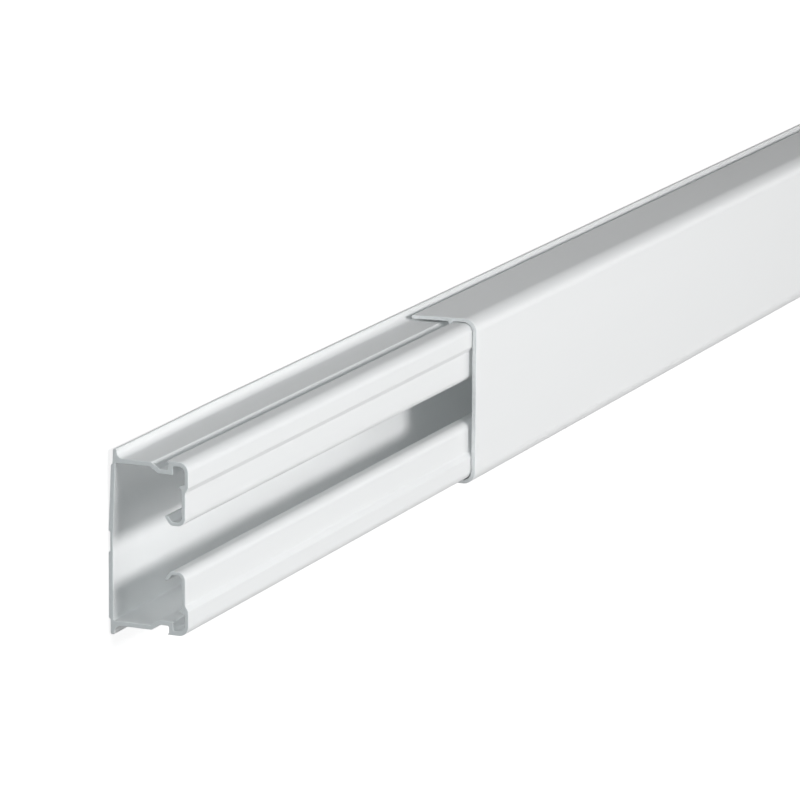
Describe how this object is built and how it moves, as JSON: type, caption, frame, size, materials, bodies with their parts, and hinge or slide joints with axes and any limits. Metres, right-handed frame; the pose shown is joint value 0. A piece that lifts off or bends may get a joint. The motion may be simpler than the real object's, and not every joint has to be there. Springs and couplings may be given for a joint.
{
  "type": "mini cable trunking",
  "caption": "Straight plastic mini trunking: a back section with grooved, inward-folded front lips, and a C-shaped clip-on cover slid back to show the open channel.",
  "frame": {"origin": "middle of the underside of the whole thing, base and cover together, with the base lying on its back face", "axes": "+X along the length from the open end that shows the base, +Y across the width, +Z from the back face towards the open front"},
  "size_m": [2.152, 0.04, 0.0196],
  "materials": {
    "base_pvc": "white extruded PVC, satin",
    "cover_pvc": "white extruded PVC, smooth satin"
  },
  "bodies": {
    "trunking_base": {"base": "base_pvc"},
    "trunking_cover": {"cover": "cover_pvc"}
  },
  "joints": [
    {"name": "cover_slide", "type": "slide", "parent": "trunking_base", "child": "trunking_cover", "axis": [1, 0, 0], "range_m": [-0.152, 1.85]}
  ]
}
